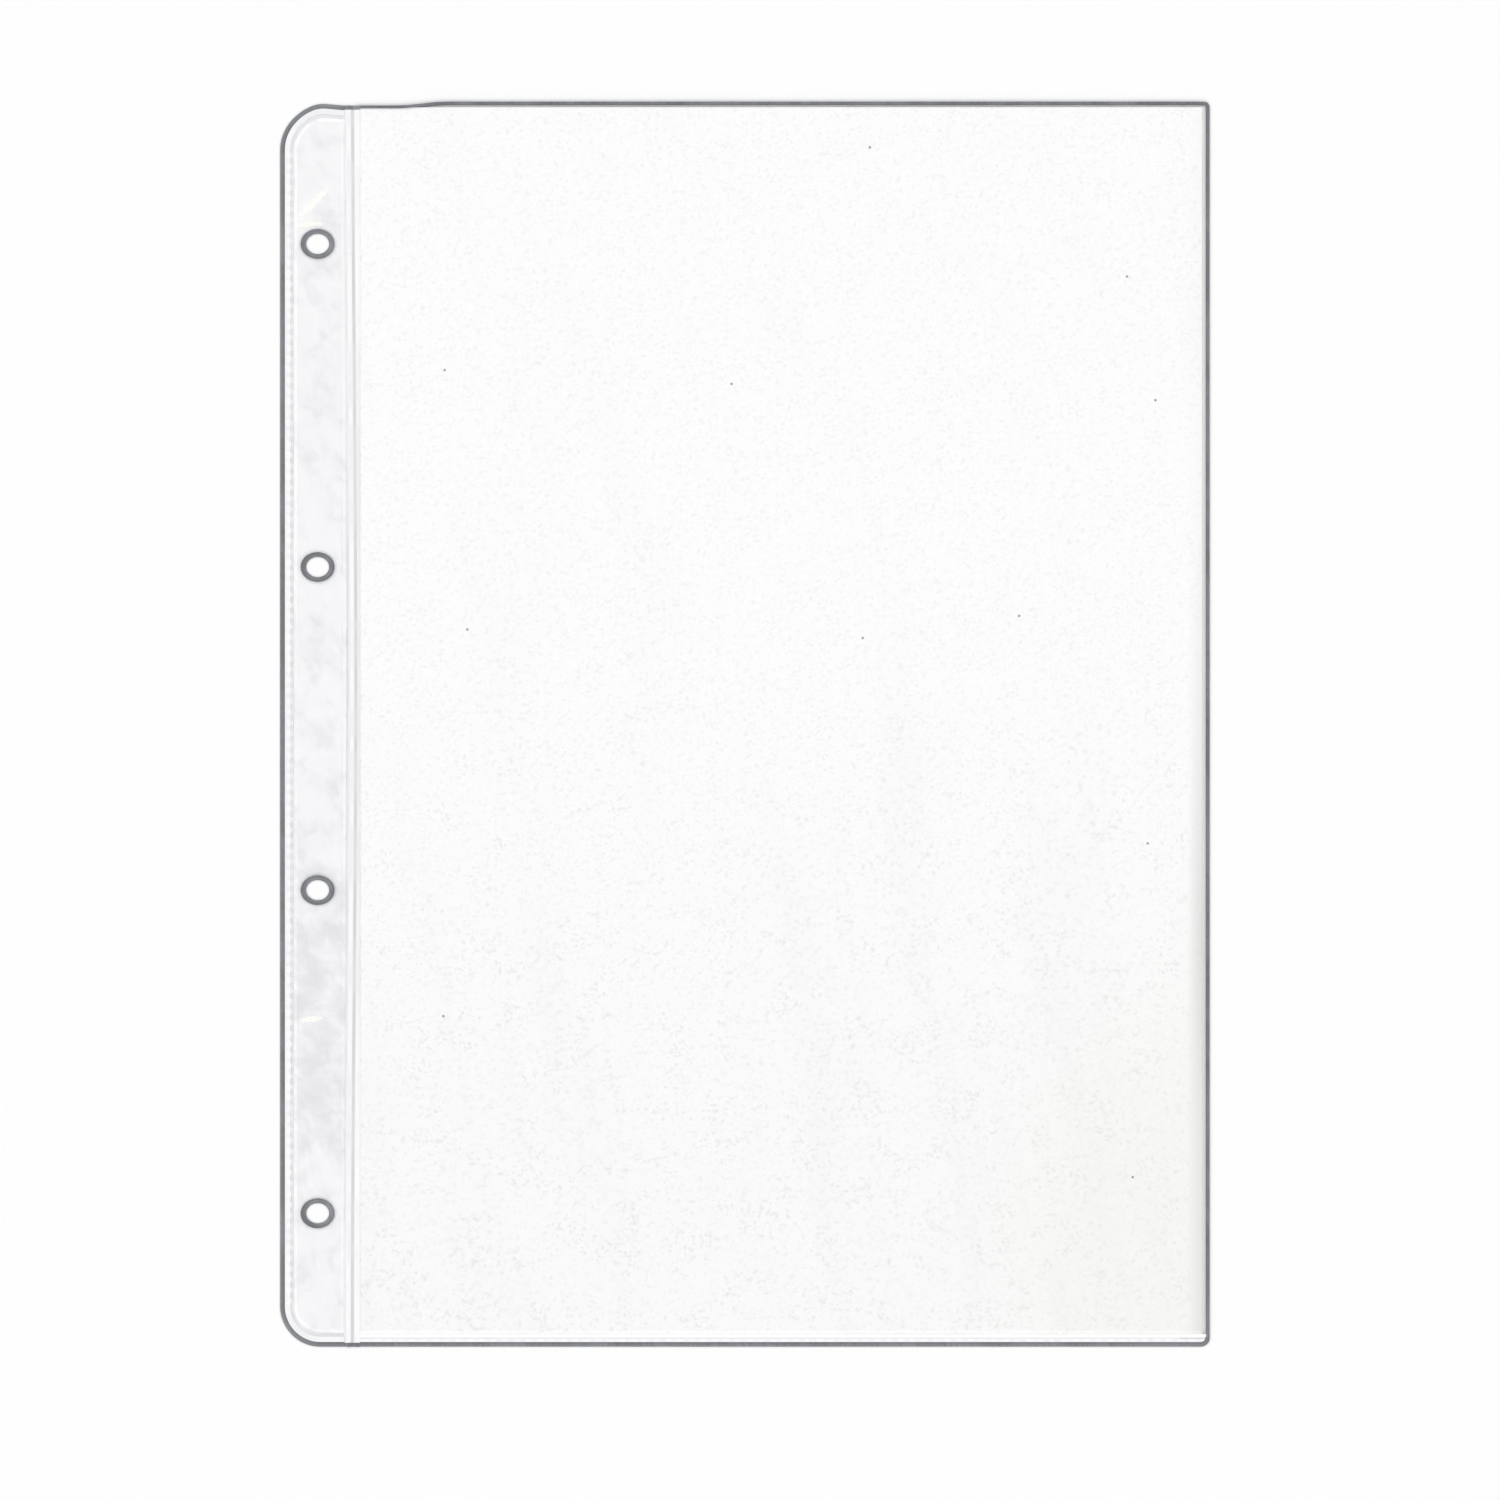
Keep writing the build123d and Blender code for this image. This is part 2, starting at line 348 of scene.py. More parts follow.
@dataclass(frozen=True)
class WhitePaper:
    """Uncoated white paper: matt, with a fine fibre grain, a little duller low down, painted shade along the fold and a
    few specks of dust.
    """

    name: str
    top: str = "FFFFFF"
    low: str = "FCFCFC"
    corner_tint: str = "F6F6F2"
    # Painted shade and tint of the fold, on the paper's last 4 mm
    fold: str = "D2D2CE"
    flock: str = "EEEEED"
    speck: str = "8A8782"
    dull_rows: tuple[float, float] = (-155.0, 60.0)
    fold_shade_band: tuple[float, float] = (109.0, 113.2)
    fold_shade_rows: tuple[float, float] = (-140.0, 80.0)
    tint_corner: tuple[float, float] = (125.0, -125.0)
    tint_reach: tuple[float, float] = (15.0, 90.0)
    flock_size: float = 0.8
    flock_depth: float = 0.03
    cloud_size: Place = (12.0, 9.0, 9.0)
    dust_cell: float = 34.0

    def ground(
        self, tree: bpy.types.NodeTree, place: bpy.types.NodeSocket, axes: bpy.types.Node, height: bpy.types.Node
    ) -> bpy.types.Node:
        """Gives the paper's colour: painted shade and tint of the fold along its last 4 mm, and a faint yellowish tint,
        strongest in the corner by the fold and the bottom weld.

        Args:
            tree: The node tree.
            place: The Object coordinates.
            axes: The node that splits them.
            height: The node that gives how far down a place is.

        Returns:
            The node that gives the colour.
        """
        even = {0: height, 6: linear(self.top), 7: linear(self.low)}
        even = add_node(tree, "ShaderNodeMix", even, data_type="RGBA")
        # Painted shade and tint of the fold: the folded film stands edge on beside the sheet and dims its last 4 mm,
        # most of all low down
        beside = {0: axes.outputs["X"], 1: self.fold_shade_band[0] * MM, 2: self.fold_shade_band[1] * MM}
        beside = add_node(tree, "ShaderNodeMapRange", beside, interpolation_type="SMOOTHSTEP")
        lower = {0: axes.outputs["Y"], 1: self.fold_shade_rows[0] * MM, 2: self.fold_shade_rows[1] * MM, 3: 1.0, 4: 0.07}
        lower = add_node(tree, "ShaderNodeMapRange", lower, interpolation_type="SMOOTHSTEP")
        fold_shaded = add_node(tree, "ShaderNodeMath", {0: beside, 1: lower}, operation="MULTIPLY")
        even = {0: fold_shaded, 6: even, 7: linear(self.fold)}
        even = add_node(tree, "ShaderNodeMix", even, data_type="RGBA")
        # A faint yellowish tint, strongest in the corner by the fold and the bottom weld
        corner = {0: place, 1: (self.tint_corner[0] * MM, self.tint_corner[1] * MM, 0.0)}
        corner = add_node(tree, "ShaderNodeVectorMath", corner, operation="DISTANCE")
        share = {0: corner, 1: self.tint_reach[0] * MM, 2: self.tint_reach[1] * MM, 3: 0.6, 4: 0.0}
        share = add_node(tree, "ShaderNodeMapRange", share, interpolation_type="SMOOTHSTEP")
        corner_tint = {0: share, 6: even, 7: linear(self.corner_tint)}
        return add_node(tree, "ShaderNodeMix", corner_tint, data_type="RGBA")

    def dust(self, tree: bpy.types.NodeTree, place: bpy.types.NodeSocket) -> bpy.types.Node:
        """Strews dots of about 0.5 mm, one in some of the cells.

        Args:
            tree: The node tree.
            place: The Object coordinates.

        Returns:
            The node that gives the dots' share.
        """
        cells = {"Vector": place, "Scale": 1 / (self.dust_cell * MM)}
        cells = add_node(tree, "ShaderNodeTexVoronoi", cells, voronoi_dimensions="2D").outputs
        near = {0: cells["Distance"], 1: 0.006, 2: 0.011, 3: 1.0, 4: 0.0}
        near = add_node(tree, "ShaderNodeMapRange", near)
        tone = add_node(tree, "ShaderNodeSeparateColor", {0: cells["Color"]})
        some = add_node(tree, "ShaderNodeMath", {0: tone, 1: 0.75}, operation="GREATER_THAN")
        return add_node(tree, "ShaderNodeMath", {0: near, 1: some}, operation="MULTIPLY")

    def build(self) -> bpy.types.Material:
        """Makes the material.

        Returns:
            The material.
        """
        material, tree = new_material(self.name)
        place = add_node(tree, "ShaderNodeTexCoord").outputs["Object"]
        axes = add_node(tree, "ShaderNodeSeparateXYZ", {"Vector": place})
        height = {0: axes.outputs["Y"], 1: self.dull_rows[0] * MM, 2: self.dull_rows[1] * MM, 3: 1.0, 4: 0.0}
        height = add_node(tree, "ShaderNodeMapRange", height, interpolation_type="SMOOTHSTEP")
        # Fibre flocks, drawn coarser than real fibres so that they show, gather in clouds of some 10 mm low down
        flocks = object_pattern(tree, (self.flock_size,) * 3, 0.0, detail=2.0, roughness=0.6)
        flock = {0: flocks, 1: 0.5, 2: 0.72, 4: 1.0}
        flock = add_node(tree, "ShaderNodeMapRange", flock, interpolation_type="SMOOTHSTEP")
        clouds = object_pattern(tree, self.cloud_size, 0.0, detail=5.0, roughness=0.7)
        cloud = {0: clouds, 1: 0.45, 2: 0.65, 3: 0.0, 4: 1.5}
        cloud = add_node(tree, "ShaderNodeMapRange", cloud, interpolation_type="SMOOTHSTEP")
        gather = add_node(tree, "ShaderNodeMath", {0: cloud, 1: height, 2: 0.65}, operation="MULTIPLY_ADD")
        share = {0: flock, 1: gather}
        share = add_node(tree, "ShaderNodeMath", share, operation="MULTIPLY", use_clamp=True)
        colour = {0: share, 6: self.ground(tree, place, axes, height), 7: linear(self.flock)}
        colour = add_node(tree, "ShaderNodeMix", colour, data_type="RGBA")
        colour = {0: self.dust(tree, place), 6: colour, 7: linear(self.speck)}
        colour = add_node(tree, "ShaderNodeMix", colour, data_type="RGBA")
        bump = {"Height": flocks, "Strength": 0.2, "Distance": self.flock_depth * MM}
        bump = add_node(tree, "ShaderNodeBump", bump)
        surface = {"Base Color": colour, "Normal": bump, "Roughness": 0.85, "Specular IOR Level": 0.2}
        surface = add_node(tree, "ShaderNodeBsdfPrincipled", surface)
        add_node(tree, "ShaderNodeOutputMaterial", {"Surface": surface})
        return material


# Modelling helpers


def activate(piece: bpy.types.Object) -> None:
    """Selects this piece alone and makes it active.

    Args:
        piece: The piece.
    """
    bpy.ops.object.select_all(action="DESELECT")
    piece.select_set(True)
    bpy.context.view_layer.objects.active = piece


def reshape(piece: bpy.types.Object, move: Callable[[Points], Points]) -> None:
    """Moves a piece's vertices.

    Args:
        piece: The piece.
        move: Takes the vertices in millimetres, one row each, and returns where they go.
    """
    mesh = piece.data
    flat = np.empty(len(mesh.vertices) * 3)
    mesh.vertices.foreach_get("co", flat)
    moved = move(flat.reshape(-1, 3) / MM)
    mesh.vertices.foreach_set("co", (moved * MM).astype(np.float32).ravel())
    mesh.update()


def modify(piece: bpy.types.Object, kind: str, **settings: object) -> None:
    """Adds a modifier to a piece and applies it.

    Args:
        piece: The piece.
        kind: The modifier's type.
        settings: Its properties.
    """
    activate(piece)
    modifier = piece.modifiers.new(kind.lower(), kind)
    for key, value in settings.items():
        setattr(modifier, key, value)
    bpy.ops.object.modifier_apply(modifier=modifier.name)


def paint(piece: bpy.types.Object, index: int, test: Callable[[Points], Points]) -> None:
    """Gives some faces another material slot.

    Args:
        piece: The piece.
        index: The slot's number.
        test: Takes the faces' centres in millimetres and says which are meant.
    """
    faces = piece.data.polygons
    centres = np.empty(len(faces) * 3)
    faces.foreach_get("center", centres)
    slots = np.empty(len(faces), dtype=np.int32)
    faces.foreach_get("material_index", slots)
    slots[test(centres.reshape(-1, 3) / MM)] = index
    faces.foreach_set("material_index", slots)


def smooth_step(value: Points, low: float, high: float) -> Points:
    """Rises smoothly from 0 at low to 1 at high."""
    t = np.clip((value - low) / (high - low), 0.0, 1.0)
    return t * t * (3.0 - 2.0 * t)


def grid(name: str, columns: Points, rows: Points) -> bpy.types.Object:
    """Adds a flat grid whose lines stand at given places.

    Args:
        name: The piece's name.
        columns: Where its lines cross X, in millimetres, or numbers to be mapped later.
        rows: Where its lines cross Y.

    Returns:
        The grid.
    """
    bpy.ops.object.select_all(action="DESELECT")
    across, along = len(columns) - 1, len(rows) - 1
    bpy.ops.mesh.primitive_grid_add(x_subdivisions=across, y_subdivisions=along, size=2 * MM)
    piece = bpy.context.object
    piece.name = piece.data.name = name

    def place(points: Points) -> Points:
        """Puts each vertex on its column and row.

        Args:
            points: The vertices in millimetres.

        Returns:
            Where they go.
        """
        column = np.rint((points[:, 0] + 1) / 2 * across).astype(int)
        row = np.rint((points[:, 1] + 1) / 2 * along).astype(int)
        return np.column_stack([columns[column], rows[row], np.zeros(len(points))])

    reshape(piece, place)
    return piece


def loop(name: str, points: Sequence[Place]) -> bpy.types.Object:
    """Adds a ring of edges through these points, in edit mode and selected, to be swept into a band.

    Args:
        name: The piece's name.
        points: The points in millimetres.

    Returns:
        The piece.
    """
    bpy.ops.object.select_all(action="DESELECT")
    bpy.ops.mesh.primitive_circle_add(vertices=len(points), radius=MM, fill_type="NOTHING")
    piece = bpy.context.object
    piece.name = piece.data.name = name
    reshape(piece, lambda _: np.array(points, float))
    bpy.ops.object.mode_set(mode="EDIT")
    bpy.ops.mesh.select_all(action="SELECT")
    return piece


def run(
    name: str,
    section: Sequence[Place],
    pitch: Place,
    steps: int,
    count: int,
    press: Callable[[Points], Points] | None = None,
) -> bpy.types.Object:
    """Sweeps a closed section along a straight run: one pitch is extruded and pressed, then repeated.

    Args:
        name: The piece's name.
        section: The section's points at the start of the run, in millimetres.
        pitch: How far one pitch goes, in millimetres.
        steps: How many steps one pitch has.
        count: How many pitches the run has.
        press: Moves the vertices of one pitch.

    Returns:
        The run, open at both ends.
    """
    piece = loop(name, section)
    bpy.ops.mesh.extrude_repeat(steps=steps, offset=tuple(p / steps * MM for p in pitch))
    bpy.ops.object.mode_set(mode="OBJECT")
    if press is not None:
        reshape(piece, press)
    modify(
        piece,
        "ARRAY",
        count=count,
        use_relative_offset=False,
        use_constant_offset=True,
        constant_offset_displace=tuple(p * MM for p in pitch),
        use_merge_vertices=True,
            merge_threshold=2e-6,
    )
    return piece


def pick(piece: bpy.types.Object, test: Callable[[Points], Points]) -> None:
    """Enters edit mode with some of a piece's vertices selected.

    Args:
        piece: The piece.
        test: Takes the vertices in millimetres and says which are meant.
    """
    if bpy.context.object.mode != "OBJECT":
        bpy.ops.object.mode_set(mode="OBJECT")
    activate(piece)
    bpy.ops.object.mode_set(mode="EDIT")
    bpy.ops.mesh.select_all(action="DESELECT")
    bpy.ops.object.mode_set(mode="OBJECT")
    flat = np.empty(len(piece.data.vertices) * 3)
    piece.data.vertices.foreach_get("co", flat)
    piece.data.vertices.foreach_set("select", test(flat.reshape(-1, 3) / MM))
    bpy.ops.object.mode_set(mode="EDIT")
    bpy.ops.mesh.select_mode(type="VERT")


def close_band(piece: bpy.types.Object) -> None:
    """Fills a band's open ends, turns its faces outwards and leaves edit mode.

    Args:
        piece: The piece.
    """
    if bpy.context.object.mode != "EDIT":
        activate(piece)
        bpy.ops.object.mode_set(mode="EDIT")
    bpy.ops.mesh.select_all(action="DESELECT")
    bpy.ops.mesh.select_mode(type="EDGE")
    bpy.ops.mesh.select_non_manifold()
    bpy.ops.mesh.edge_face_add()
    bpy.ops.mesh.select_all(action="SELECT")
    bpy.ops.mesh.normals_make_consistent(inside=False)
    bpy.ops.mesh.select_mode(type="VERT")
    bpy.ops.object.mode_set(mode="OBJECT")


def rounded(
    low: tuple[float, float], high: tuple[float, float], radii: tuple[float, float, float, float]
) -> list[tuple[float, float]]:
    """Draws a rectangle with round corners.

    Args:
        low: Its lower left corner.
        high: Its upper right corner.
        radii: The corners' radii, from lower left round by lower right.

    Returns:
        Its points in order.
    """
    corners = ((low[0], low[1], 1, 1), (high[0], low[1], -1, 1), (high[0], high[1], -1, -1), (low[0], high[1], 1, -1))
    points = []
    for quarter, ((x, y, right, up), radius) in enumerate(zip(corners, radii)):
        for turn in np.linspace(0, math.pi / 2, 15) + math.pi + quarter * math.pi / 2:
            points.append((x + right * radius + radius * math.cos(turn), y + up * radius + radius * math.sin(turn)))
    return points


def lines(start: float, end: float, step: float, *extra: float) -> Points:
    """Spaces lines evenly between two places, and adds some.

    Args:
        start: The first line.
        end: The last line.
        step: About how far apart they are.
        extra: More lines between them.

    Returns:
        The lines in order.
    """
    even = np.linspace(start, end, max(2, round((end - start) / step) + 1))
    return np.unique(np.round(np.concatenate([even, extra]), 4))


def settle(
    piece: bpy.types.Object, finishes: Sequence[bpy.types.Material], body: Body | None, nodes: Sequence[str]
) -> bpy.types.Object:
    """Dresses a finished piece, hides the CAD nodes that it stands for and sets it on its body.

    Args:
        piece: The piece.
        finishes: Its materials, in the order of its slots.
        body: The body that it rides on, or none.
        nodes: The CAD nodes that it stands for.

    Returns:
        The piece.
    """
    for finish in finishes:
        piece.data.materials.append(finish)
    activate(piece)
    bpy.ops.object.shade_smooth_by_angle(angle=math.radians(32))
    if nodes:
        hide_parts(*nodes)
    if body is not None:
        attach(piece, body.value)
    log.info("%s: %d faces, rides on %s", piece.name, len(piece.data.polygons), body.value if body else "its joint")
    return piece


@dataclass(frozen=True)
class Sleeve:
    """The sleeve's outline and how it lies: its rim curls a little off the table."""

    left: float = -115.0
    right: float = 115.15
    bottom: float = -154.25
    mouth: float = 153.95
    trim: float = 153.0
    trim_end: float = -86.0
    mouth_start: float = -73.5
    top_radius: float = 11.0
    bottom_radius: float = 10.0
    curl: float = 0.1
    curl_reach: float = 16.0
    curl_wave: tuple[float, float] = (140.0, 170.0)
    # Widths of the dark band painted along the outline: partly the cut edges' own dark look, partly painted shade
    rim: float = 1.2
    fold_rim: float = 0.95
    mouth_rim: float = 0.75
    seam: float = -97.65
    seam_bow: float = 0.85
    seam_middle: float = 12.0
    seam_half: float = 160.0
    proud: float = 0.5
    proud_at: float = -105.0
    proud_half: float = 4.5
    trim_reach: float = 12.0
    foot_radius: float = 2.2
    mouth_radius: float = 1.3

    def lie(self, points: Points) -> Points:
        """Bows the seam's neighbourhood sideways and lifts points near the rim, as the film lies.

        Args:
            points: Points in millimetres.

        Returns:
            The points as they lie.
        """
        x, y = points[:, 0], points[:, 1]
        inset = np.minimum.reduce([x - self.left, self.right - x, y - self.bottom, self.mouth - y])
        near = np.clip(1 - inset / self.curl_reach, 0.0, 1.0)
        across, along = self.curl_wave
        wander = 0.8 + 0.2 * np.sin(2 * math.pi * (x / across + y / along) + 1.0)
        # The seam was fed askew: its middle stands nearer the pocket than its ends
        bow = self.seam_bow * (0.5 - smooth_step(np.abs(y - self.seam_middle), 0.0, self.seam_half))
        beside = smooth_step(x, self.seam - 3.4, self.seam - 1.4)
        beside = beside * (1 - smooth_step(x, self.seam + 1.2, self.seam + 2.6))
        # The binding corner stands a little proud of the trimmed edge beside it
        corner = np.exp(-(((x - self.proud_at) / self.proud_half) ** 2))
        proud = self.proud * corner * smooth_step(y, 140.0, 152.0)
        moved = points.copy()
        moved[:, 0] += bow * beside
        moved[:, 1] += proud
        moved[:, 2] += self.curl * near**2 * wander
        return moved

    def trimmed(self, points: Points) -> Points:
        """Draws points near the mouth down where the corner die trimmed the edge.

        Args:
            points: Points in millimetres, on an edge at the mouth's height.

        Returns:
            The points on the trimmed edge.
        """
        depth = (self.mouth - self.trim) * (1 - smooth_step(points[:, 0], self.trim_end, self.mouth_start))
        near = np.clip(1 - (self.mouth - points[:, 1]) / self.trim_reach, 0.0, 1.0)
        drawn = points.copy()
        drawn[:, 1] -= depth * near
        return drawn

    def round_corners(self, points: Points) -> Points:
        """Rounds the corners where the fold meets the bottom weld and the mouth.

        Args:
            points: Points in millimetres.

        Returns:
            The points, with those in a corner drawn on to its arc.
        """
        x, y = points[:, 0], points[:, 1]
        moved = points.copy()
        for radius, beyond, inwards in (
            (self.foot_radius, self.bottom - y, 1),
            (self.mouth_radius, y - self.mouth, -1),
        ):
            across = np.clip((x - self.right) / radius + 1.0, 0.0, 1.0)
            along = np.clip(beyond / radius + 1.0, 0.0, 1.0)
            span = np.hypot(across, along)
            draw = np.where(span > 0, 1 - np.maximum(across, along) / np.maximum(span, 1e-9), 0.0) * radius
            moved[:, 0] -= across * draw
            moved[:, 1] += inwards * along * draw
        return moved

    def inset(self, points: Points) -> Points:
        """Measures how far inside the binding edge's outline points lie.

        Args:
            points: Points in millimetres, on the margin.

        Returns:
            The distances.
        """
        x, y = points[:, 0], points[:, 1]
        plain = np.minimum.reduce([x - self.left, self.trim - y, y - self.bottom])
        top, low = self.top_radius, self.bottom_radius
        x_top, y_top = self.left + top, self.trim - top
        x_low, y_low = self.left + low, self.bottom + low
        plain = np.where((x < x_top) & (y > y_top), top - np.hypot(x - x_top, y - y_top), plain)
        return np.where((x < x_low) & (y < y_low), low - np.hypot(x - x_low, y - y_low), plain)


@dataclass
class BindingMargin:
    """The binding margin: fused border, two films round a strip and four punched holes, up to the seam to the pocket.
    """

    sleeve: Sleeve
    weld: float = 3.3
    seam_start: float = -98.75
    cell_low: float = -150.95
    cell_high: float = 149.7
    film: float = 0.15
    weld_top: float = 0.30
    film_top: float = 0.55
    slope: float = 1.1
    strip_inset: float = 1.0
    strip: float = 0.21
    strip_air: float = 0.02
    ripple: float = 0.06
    inner_radius: float = 1.5
    tooth_pitch: float = 2.65
    tooth_length: float = 1.4
    tooth_rise: float = 0.06
    hole_x: float = -105.7
    hole_rows: tuple[float, ...] = (118.8, 38.8, -41.2, -121.2)
    hole_radius: float = 3.6
    # The dark lip round each hole reaches this far outwards and the next this far into it: partly the cut edge's own
    # dark look, partly painted shade for the shadow in the hole
    hole_rim: float = 0.6
    hole_shade_reach: float = 0.75
    hole_squash: float = 0.88

    def border_profile(self) -> Sequence[tuple[float, float]]:
        """Gives the fused border's section: cut edge, pad row, pressed line and foot.

        Returns:
            Each point's distance from the cut edge, and its height.
        """
        top = self.weld_top
        return (
            (0.0, 0.06), (0.05, 0.0), (1.6, 0.0), (self.weld, 0.0), (self.weld, 0.14),
            (3.14, 0.13), (2.95, 0.12), (2.8, 0.13), (2.68, top),
            (2.4, top), (2.3, top), (2.02, top), (1.74, top), (1.66, top),
            (1.5, top), (1.35, top), (1.2, top), (0.7, top - 0.01), (0.2, top - 0.07), (0.0, top - 0.16),
        )

    def build_border(self, finishes: Sequence[bpy.types.Material]) -> bpy.types.Object:
        """Sweeps the border round the margin, then presses the teeth into its long side.

        Args:
            finishes: Weld, tooth mark, pad, edge and faint line materials.

        Returns:
            The border.
        """
        s = self.sleeve
        x_low, y_low = s.left + s.bottom_radius, s.bottom + s.bottom_radius
        x_top, y_top = s.left + s.top_radius, s.trim - s.top_radius
        count = round((y_top - y_low) / self.tooth_pitch)
        pitch = (y_top - y_low) / count

        def press(points: Points) -> Points:
            """Raises the pad between two teeth and bends the pressed line round it.

            Args:
                points: The vertices in millimetres.

            Returns:
                Where they go.
            """
            inset = points[:, 0] - s.left
            phase = np.abs(points[:, 1] - y_low - pitch / 2)
            pad = 1 - smooth_step(phase, self.tooth_length / 2 - 0.15, self.tooth_length / 2 + 0.15)
            raised = (inset > 1.7) & (inset < 2.35) & (points[:, 2] > self.weld_top - 0.02)
            in_line = (inset > 2.6) & (inset < 3.2) & (points[:, 2] > 0.1)
            moved = points.copy()
            moved[:, 2] += np.where(raised, self.tooth_rise * pad, 0.0)
            moved[:, 0] += np.where(in_line, 0.22 * pad - 0.14, 0.0)
            return moved

        section = [(s.left + u, y_low, z) for u, z in self.border_profile()]
        piece = run("margin_border", section, (0.0, pitch, 0.0), 10, count, press)
        for turn, (x, y) in ((1, (x_top, y_top)), (-1, (x_low, y_low))):
            pick(piece, lambda p, y=y: np.abs(p[:, 1] - y) < 0.01)
            bpy.ops.mesh.spin(steps=20, angle=math.pi / 2, center=(x * MM, y * MM, 0), axis=(0, 0, turn))
            bpy.ops.mesh.extrude_repeat(steps=6, offset=((self.seam_start - x) / 6 * MM, 0, 0))
        close_band(piece)

        def pressed(centres: Points) -> Points:
            """Says which faces lie in the pressed line."""
            inset, z = s.inset(centres), centres[:, 2]
            return (inset > 2.55) & (inset < self.weld) & (z > 0.1) & (z < self.weld_top - 0.02)

        def between_teeth(centres: Points) -> Points:
            """Says which faces of the pressed line no tooth has bitten.

            Args:
                centres: The faces' centres in millimetres.

            Returns:
                Which faces are meant.
            """
            y = centres[:, 1]
            phase = np.abs((y - y_low) / pitch % 1 - 0.5)
            return pressed(centres) & (phase < 0.24) & (y > y_low) & (y < y_top)

        # Grey in the pressed line and between its teeth: painted shade of the groove
        paint(piece, 1, pressed)
        paint(piece, 4, between_teeth)
        paint(piece, 2, lambda c: (c[:, 2] > self.weld_top + 0.3 * self.tooth_rise))
        # The outer band gets the dark edge: partly the cut edge's own dark look, partly painted shade along it
        paint(piece, 3, lambda c: s.inset(c) < s.rim)
        reshape(piece, s.lie)
        return settle(
            piece, finishes, Body.MARGIN, ("outer_edge_weld", "top_edge_weld", "bottom_edge_weld")
        )

    def cell_cutter(self, inset: float) -> bpy.types.Object:
        """Makes a prism with the cell's outline and the ring holes, which trims a blank to shape.

        Args:
            inset: How far inside the cell's outline it lies.

        Returns:
            The prism.
        """
        s = self.sleeve
        left = s.left + self.weld
        outline = rounded(
            (left + inset, self.cell_low + inset),
            (self.seam_start - inset, self.cell_high - inset),
            (
                s.bottom_radius - self.weld - inset,
                self.inner_radius - inset,
                self.inner_radius - inset,
                s.top_radius - self.weld - inset,
            ),
        )
        cutter = loop("cell_cutter", [(x, y, -2.0) for x, y in outline])
        bpy.ops.mesh.extrude_repeat(steps=1, offset=(0, 0, 4 * MM))
        close_band(cutter)
        for y in self.hole_rows:
            bpy.ops.object.select_all(action="DESELECT")
            bpy.ops.mesh.primitive_cylinder_add(
                vertices=64,
                radius=(self.hole_radius + self.hole_rim) * MM,
                depth=8 * MM,
                location=(self.hole_x * MM, y * MM, 0),
                scale=(1.0, self.hole_squash, 1.0),
            )
            punch = bpy.context.object
            modify(cutter, "BOOLEAN", object=punch, operation="DIFFERENCE", solver="EXACT")
            bpy.data.objects.remove(punch)
        return cutter

    def blank(self, name: str, inset: float, low: float, thickness: float) -> bpy.types.Object:
        """Cuts a flat blank with the cell's outline and the ring holes.

        Args:
            name: The piece's name.
            inset: How far inside the cell's outline its edge lies.
            low: The height of its underside.
            thickness: Its thickness.

        Returns:
            The blank.
        """
        left, right = self.sleeve.left + self.weld, self.seam_start
        near = (0.25, 0.5, 0.8, 1.1, 1.5)
        columns = lines(left - 0.5, right + 0.5, 1.2, *[left + n for n in near], *[right - n for n in near])
        ends = np.concatenate([np.arange(0.25, 12.0, 0.5) + self.cell_low, self.cell_high - np.arange(0.25, 12.0, 0.5)])
        rows = lines(self.cell_low - 0.5, self.cell_high + 0.5, 2.5, *ends)
        piece = grid(name, columns, rows)
        modify(piece, "SOLIDIFY", thickness=thickness * MM, offset=1.0)
        reshape(piece, lambda p: p + np.array([0, 0, low]))
        cutter = self.cell_cutter(inset)
        modify(piece, "BOOLEAN", object=cutter, operation="INTERSECT", solver="EXACT")
        bpy.data.objects.remove(cutter)
        return piece

    def cell_depth(self, points: Points) -> Points:
        """Measures how far inside the cell's outline points lie."""
        return np.minimum(self.sleeve.inset(points) - self.weld, self.seam_start - points[:, 0])

    def build_back_film(self, finishes: Sequence[bpy.types.Material]) -> bpy.types.Object:
        """Makes the margin's back film, which lies on the table.

        Args:
            finishes: The film's material.

        Returns:
            The piece.
        """
        piece = self.blank("cell_back_film", 0.0, 0.0, self.film)
        reshape(piece, self.sleeve.lie)
        settle(piece, finishes, Body.MARGIN, ("margin_back_film",))
        return piece

    def build_strip(self, finishes: Sequence[bpy.types.Material]) -> bpy.types.Object:
        """Makes the clear strip sealed in the margin, which the rings bear on.

        Args:
            finishes: The film's material.

        Returns:
            The piece.
        """
        piece = self.blank("cell_strip", self.strip_inset, self.film + self.strip_air, self.strip)
        reshape(piece, self.sleeve.lie)
        settle(piece, finishes, Body.MARGIN, ("binding_strip",))
        return piece

    def build_front_film(self, finishes: Sequence[bpy.types.Material]) -> bpy.types.Object:
        """Makes the margin's front film, which climbs from the welds over the strip and ripples a little.

        Args:
            finishes: The film.

        Returns:
            The film.
        """
        piece = self.blank("cell_front_film", 0.0, self.film_top - self.film, self.film)

        def drape(points: Points) -> Points:
            """Lets the film down to the welds and ripples it over the strip.

            Args:
                points: The vertices in millimetres.

            Returns:
                Where they go.
            """
            depth = self.cell_depth(points)
            x, y = points[:, 0], points[:, 1]
            # Two crossing waves, some 10 and 20 mm long across the margin
            ripple = np.sin(2 * math.pi * (x / 9 + y / 31)) * np.sin(2 * math.pi * (y / 47 - x / 21) + 0.7)
            moved = points.copy()
            moved[:, 2] -= (self.film_top - self.weld_top) * (1 - smooth_step(depth, -0.1, self.slope))
            moved[:, 2] += self.ripple * (1 + ripple) * smooth_step(depth, 1.0, 3.0)
            return moved

        reshape(piece, drape)
        reshape(piece, self.sleeve.lie)
        settle(piece, finishes, Body.MARGIN, ("margin_front_film",))
        return piece

